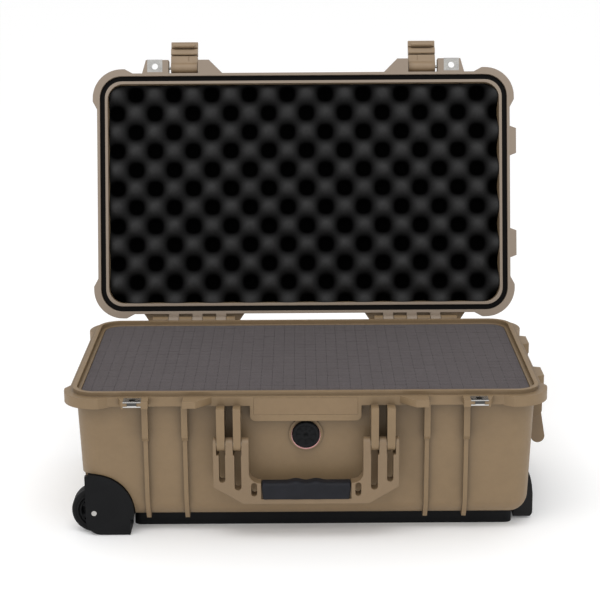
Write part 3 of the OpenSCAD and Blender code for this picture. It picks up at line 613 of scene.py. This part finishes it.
def front_grip():
    """The front handle's rubber grip: a channel-shaped sleeve with a waved top."""
    low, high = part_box("front_handle_grip")
    half = (high.x - low.x) / 2
    middle = (low.y + high.y) / 2 + 0.5 * MM
    core, roof = 4.05 * MM, high.z - 6 * MM
    crest_pitch, crest_height = 22.8 * MM, 1.9 * MM
    end_round, end_lean, radius = 2.2 * MM, 2.2 * MM, 5.4 * MM
    lip, lip_rise = 0.8 * MM, 1.2 * MM
    arc = [math.pi / 2 * j / 6 for j in range(7)]
    rings = []
    count = 96
    for k in range(count + 1):
        x = -half + 2 * half * k / count
        end = max(0.0, (abs(x) - half + end_round) / end_round)
        pull = 1.4 * MM * (1 - math.sqrt(max(0.0, 1 - end * end)))
        crest = 0.0
        if abs(x) < crest_pitch:
            crest = 0.5 - 0.5 * math.cos(2 * math.pi * x / crest_pitch)
        top = high.z - (1 - crest) * crest_height - pull
        front = low.y + 0.2 * MM + 0.5 * MM * (1 - crest) + pull
        rear = high.y - pull
        ring = [(x, front + lip, low.z), (x, front, low.z + lip_rise)]
        ring += [(x, front + radius * (1 - math.cos(angle)), top - radius * (1 - math.sin(angle)))
                 for angle in arc]
        ring += [(x, rear - radius * (1 - math.cos(angle)), top - radius * (1 - math.sin(angle)))
                 for angle in reversed(arc)]
        ring += [(x, rear, low.z + lip_rise), (x, rear - lip, low.z),
                 (x, middle + core, low.z), (x, middle + core, roof),
                 (x, middle - core, roof), (x, middle - core, low.z)]
        lean = end_lean * x / half
        rings.append([(px - lean * (high.z - pz) / (high.z - low.z), py, pz)
                      for px, py, pz in ring])
    bm = bmesh.new()
    loft(bm, rings)
    weighted(piece("front_grip_sleeve", bm, "front_handle", "rubber", grip_rubber,
                   "front_handle_grip"))


front_grip()


def side_grip():
    """The side handle's rubber grip: a sleeve with shallow finger rings."""
    low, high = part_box("side_handle_grip")
    centre = (low + high) / 2
    half, outer, bore = (high.y - low.y) / 2, (high.z - low.z) / 2, 4.55 * MM
    ring_width, ring_depth = 1.75 * MM, 0.55 * MM
    end = [(-half, bore), (-half, outer - 2.4 * MM), (-half + 0.7 * MM, outer - 0.9 * MM)]
    rings = []
    for k in range(81):
        along = (half - 2 * MM) * (k / 40 - 1)
        rings.append((along, outer - ring_depth * (0.5 + 0.5 * math.cos(along / ring_width))))
    profile = end + rings + mirrored(end)
    weighted(piece("side_grip_sleeve", lathe(profile, centre, 40), "side_handle", "rubber",
                   grip_rubber, "side_handle_grip"))


side_grip()


def wheel(end):
    """Tyre with two tread grooves, and a hub with a dished face and six spokes."""
    low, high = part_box("wheel_tyre_" + end)
    centre = (low + high) / 2
    half, outer, seat = (high.y - low.y) / 2, (high.z - low.z) / 2, 18 * MM
    shoulder, groove_place, groove_depth = 4 * MM, 3.6 * MM, 1.1 * MM
    wall = [(-half, seat), (-half, seat + 2.2 * MM), (-half + 0.5 * MM, seat + 2.6 * MM),
            (-half + 0.5 * MM, seat + 3.4 * MM), (-half, seat + 3.8 * MM)]
    for k in range(6):
        angle = math.pi / 2 * k / 5
        wall.append((-half + shoulder * (1 - math.cos(angle)),
                     outer - shoulder * (1 - math.sin(angle))))
    groove = [(-groove_place - 0.9 * MM, outer), (-groove_place - 0.6 * MM, outer - groove_depth),
              (-groove_place + 0.6 * MM, outer - groove_depth), (-groove_place + 0.9 * MM, outer)]
    profile = wall + groove + mirrored(groove) + mirrored(wall)
    weighted(piece("tyre_tread_" + end, lathe(profile, centre, 96), "wheel_" + end, "tyre",
                   tread_black, "wheel_tyre_" + end))

    low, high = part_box("wheel_hub_" + end)
    half = (high.y - low.y) / 2
    face = [(half, 8 * MM), (half, 10.2 * MM), (half - 0.4 * MM, 10.7 * MM),
            (half - 0.6 * MM, 11.4 * MM), (half - 0.6 * MM, 14.6 * MM),
            (half - 0.4 * MM, 15.3 * MM), (half, 15.8 * MM), (half, seat - 0.4 * MM),
            (half - 0.4 * MM, seat)]
    profile = face + mirrored(face)
    spoke_count, dish_depth = 6, 4.2 * MM

    def spokes(along, radius, angle):
        """Dishes the face between the spokes."""
        if not 10.9 * MM < radius < 15 * MM:
            return along, radius
        lobe = 0.5 + 0.5 * math.cos(spoke_count * angle)
        dish = dish_depth * (1 - min(1.0, max(0.0, (lobe - 0.55) / 0.25)))
        return math.copysign(abs(along) - dish, along), radius

    weighted(piece("hub_spoked_" + end, lathe(profile, centre, 120, spokes), "wheel_" + end,
                   "black_plastic", black_plastic, "wheel_hub_" + end))


wheel("front")
wheel("rear")


def valve_cap():
    """The purge valve's cap: a ribbed rim about a dished face with a raised middle."""
    low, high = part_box("purge_valve_cap")
    centre = Vector(((low.x + high.x) / 2, 0, (low.z + high.z) / 2))
    front, back = low.y, high.y
    profile = [
        (front + 1.9 * MM, 0.01 * MM), (front + 1.9 * MM, 2.2 * MM), (front + 0.5 * MM, 2.6 * MM),
        (front + 0.5 * MM, 5.4 * MM), (front + 1.2 * MM, 5.8 * MM), (front + 1.4 * MM, 10.6 * MM),
        (front + 0.4 * MM, 11.4 * MM), (front, 12.0 * MM), (front, 13.8 * MM),
        (front + 0.5 * MM, 14.6 * MM), (front + 1.1 * MM, 15.0 * MM),
        (front + 2.5 * MM, 15.0 * MM), (front + 2.8 * MM, 15.7 * MM),
        (front + 4.4 * MM, 15.75 * MM), (front + 4.4 * MM, 8.9 * MM), (back, 8.9 * MM),
        (back, 6.0 * MM), (front + 3.2 * MM, 6.0 * MM), (front + 3.2 * MM, 0.01 * MM)]

    rib_count, rib_depth, pocket_count, pocket_depth = 28, 0.45 * MM, 8, 0.9 * MM

    def ribs(along, radius, angle):
        """Cuts ribs into the rim and pockets into the dished face."""
        if 14.5 * MM < radius < 15.3 * MM:
            radius -= rib_depth * (0.5 + 0.5 * math.cos(rib_count * angle)) ** 2
        if 5.6 * MM < radius < 11 * MM:
            along += pocket_depth * (0.5 + 0.5 * math.cos(pocket_count * angle)) ** 3
        return along, radius

    weighted(piece("purge_valve_knob", lathe(profile, centre, 168, ribs), "base",
                   "black_plastic", black_plastic, "purge_valve_cap"))


valve_cap()

# ------------------------------------------------------------------ stage, light, camera

FLOOR_HALF = 25.0
floor_mesh = bpy.data.meshes.new("floor")
floor_mesh.from_pydata(
    [(-FLOOR_HALF, -FLOOR_HALF, 0), (FLOOR_HALF, -FLOOR_HALF, 0), (FLOOR_HALF, FLOOR_HALF, 0),
     (-FLOOR_HALF, FLOOR_HALF, 0)], [], [(0, 1, 2, 3)])
floor = bpy.data.objects.new("floor", floor_mesh)
scene.collection.objects.link(floor)
paper = Graph("floor_paper")
floor_mesh.materials.append(paper.surface(
    rgb(0.93, 0.93, 0.93), 0.8, Emission_Color=rgb(1.0, 1.0, 1.0), Emission_Strength=0.105))

world = bpy.data.worlds.new("studio")
world.use_nodes = True
world.node_tree.nodes["Background"].inputs["Color"].default_value = rgb(1.0, 1.0, 1.0)
world.node_tree.nodes["Background"].inputs["Strength"].default_value = 0.95
scene.world = world


def area_light(name, place, target, size, power):
    """A rectangular lamp of that size in metres and power in watts, aimed at the target."""
    data = bpy.data.lights.new(name, "AREA")
    data.shape = "RECTANGLE"
    data.size, data.size_y = size
    data.energy = power
    light = bpy.data.objects.new(name, data)
    light.location = place
    light.rotation_euler = (Vector(target) - Vector(place)).to_track_quat("-Z", "Y").to_euler()
    scene.collection.objects.link(light)


CASE_MIDDLE = (0.0, 0.0, 0.2)
area_light("overhead", (-0.2, -1.3, 2.5), CASE_MIDDLE, (2.0, 1.0), 21.0)
area_light("front_left", (-2.2, -2.2, 1.9), CASE_MIDDLE, (1.6, 1.6), 2.5)

# The photo's camera: its place in metres, and its turn, downward look and roll in degrees
CAMERA_PLACE = (-0.0042, -1.9459, 0.7454)
CAMERA_TURN, CAMERA_DOWN, CAMERA_ROLL = 0.045, 14.636, -0.374
camera_data = bpy.data.cameras.new("camera")
camera_data.lens = 101.69
camera_data.sensor_width = 36.0
camera = bpy.data.objects.new("camera", camera_data)
camera.matrix_world = (
    Matrix.Translation(CAMERA_PLACE)
    @ Matrix.Rotation(math.radians(CAMERA_TURN), 4, "Z")
    @ Matrix.Rotation(math.radians(90 - CAMERA_DOWN), 4, "X")
    @ Matrix.Rotation(math.radians(CAMERA_ROLL), 4, "Z"))
scene.collection.objects.link(camera)
scene.camera = camera
scene.view_settings.view_transform = "Standard"
